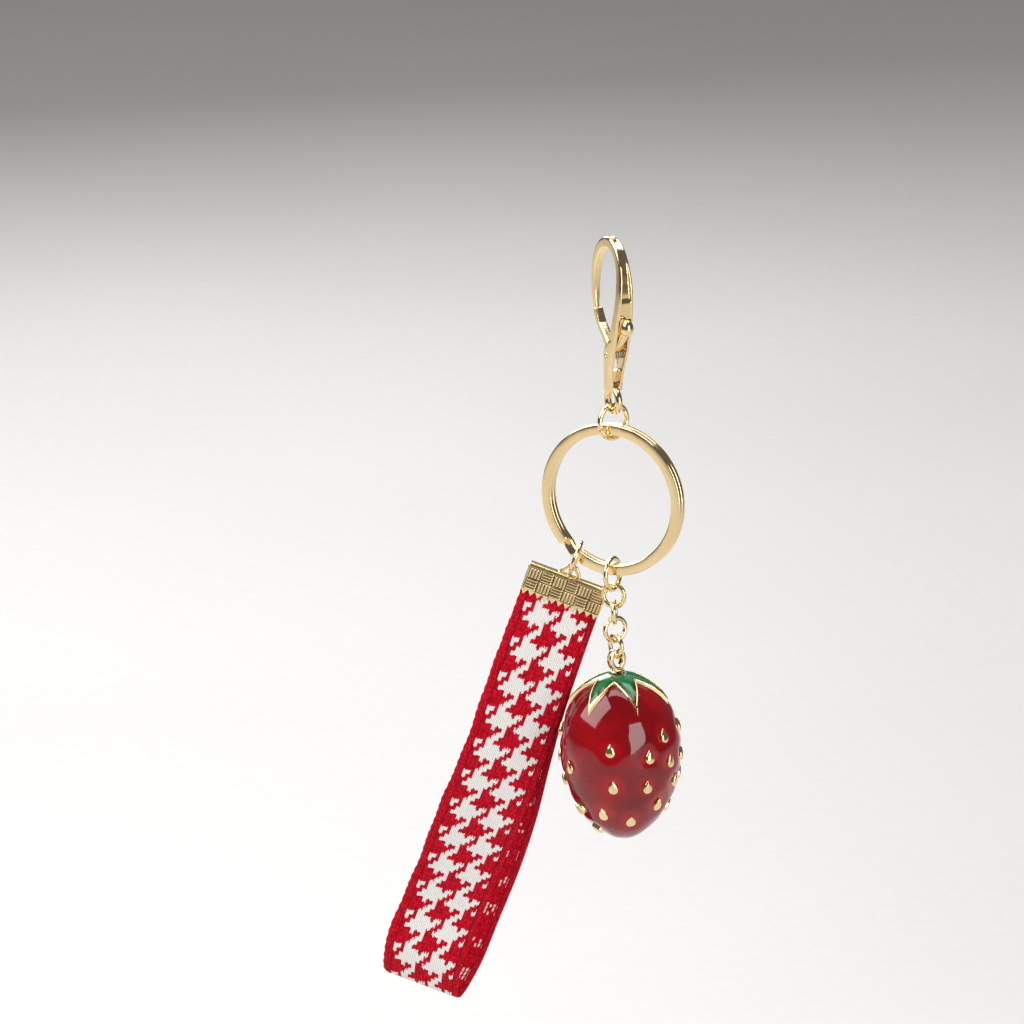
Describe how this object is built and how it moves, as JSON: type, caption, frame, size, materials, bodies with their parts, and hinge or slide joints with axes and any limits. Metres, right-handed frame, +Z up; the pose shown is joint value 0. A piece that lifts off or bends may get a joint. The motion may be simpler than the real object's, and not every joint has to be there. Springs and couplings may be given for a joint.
{
  "type": "charm keyring",
  "caption": "Gold lobster clasp key ring with a woven houndstooth ribbon loop and an enamelled strawberry charm on a short chain.",
  "frame": {"origin": "hook seat: the inside top of the clasp hook, where the key ring hangs from a strap or loop", "axes": "+Z up, +X to the right along the plane of the split ring, +Y away from its front"},
  "size_m": [0.0661, 0.0251, 0.1605],
  "materials": {
    "polished_gold": "polished",
    "stamped_gold": "satin",
    "spring_steel": "satin",
    "ribbon_weave": "matte",
    "red_enamel": "gloss",
    "green_enamel": "gloss"
  },
  "bodies": {
    "clasp": {"clasp_body": "polished_gold", "clasp_pivot_pin": "polished_gold", "clasp_spring": "spring_steel"},
    "trigger": {"clasp_trigger": "polished_gold"},
    "top_ring": {"clasp_jump_ring": "polished_gold"},
    "key_ring": {"split_ring": "polished_gold"},
    "tag_ring": {"ribbon_jump_ring": "polished_gold"},
    "ribbon_tag": {"ribbon_clamp": "stamped_gold", "ribbon_loop": "ribbon_weave"},
    "charm_ring": {"charm_jump_ring": "polished_gold"},
    "link_1": {"chain_link_1": "polished_gold"},
    "link_2": {"chain_link_2": "polished_gold"},
    "link_3": {"chain_link_3": "polished_gold"},
    "link_4": {"chain_link_4": "polished_gold"},
    "strawberry": {"strawberry_bail": "polished_gold", "strawberry_casting": "polished_gold", "red_enamel": "red_enamel", "calyx_enamel": "green_enamel"}
  },
  "joints": [
    {"name": "trigger_pull", "type": "hinge", "parent": "clasp", "child": "trigger", "pos_m": [0.00025, -0.00017, -0.0203], "axis": [0.5592, 0.829, 0], "range_deg": [0, 22], "stiffness_Nm_per_rad": 0.004, "springref_deg": -20.05},
    {"name": "jump_ring_swing", "type": "hinge", "parent": "clasp", "child": "top_ring", "pos_m": [0, 0, -0.0317], "axis": [-0.9135, 0.4067, 0], "range_deg": [-30, 30]},
    {"name": "split_ring_swing", "type": "hinge", "parent": "top_ring", "child": "key_ring", "pos_m": [0, 0, -0.037], "axis": [0.4067, 0.9135, 0], "range_deg": [-30, 30]},
    {"name": "ribbon_ring_swing", "type": "hinge", "parent": "key_ring", "child": "tag_ring", "pos_m": [-0.0076, 0, -0.0608], "axis": [0.8885, 0.3234, -0.3256], "range_deg": [0, 35]},
    {"name": "ribbon_sway", "type": "hinge", "parent": "tag_ring", "child": "ribbon_tag", "pos_m": [-0.00884, -0.00045, -0.06463], "axis": [-0.342, 0.9397, 0], "range_deg": [0, 45]},
    {"name": "charm_ring_swing", "type": "hinge", "parent": "key_ring", "child": "charm_ring", "pos_m": [0, 0, -0.06305], "axis": [0.9986, 0, 0.0523], "range_deg": [-35, 0]},
    {"name": "link_1_swing", "type": "hinge", "parent": "charm_ring", "child": "link_1", "pos_m": [0.00021, 0, -0.06709], "axis": [0, 1, 0], "range_deg": [-25, 0]},
    {"name": "link_2_swing", "type": "hinge", "parent": "link_1", "child": "link_2", "pos_m": [0.0004, 0, -0.07059], "axis": [0.9986, 0, 0.0523], "range_deg": [-25, 25]},
    {"name": "link_3_swing", "type": "hinge", "parent": "link_2", "child": "link_3", "pos_m": [0.00056, 0, -0.07379], "axis": [0.3902, -0.9205, 0.0204], "range_deg": [0, 25]},
    {"name": "link_4_swing", "type": "hinge", "parent": "link_3", "child": "link_4", "pos_m": [0.00075, 0, -0.07738], "axis": [0.4993, 0.866, 0.0262], "range_deg": [-25, 0]},
    {"name": "strawberry_swing", "type": "hinge", "parent": "link_4", "child": "strawberry", "pos_m": [0.00092, 0, -0.08058], "axis": [0.8648, -0.5, 0.0453], "range_deg": [-2, 25]}
  ]
}
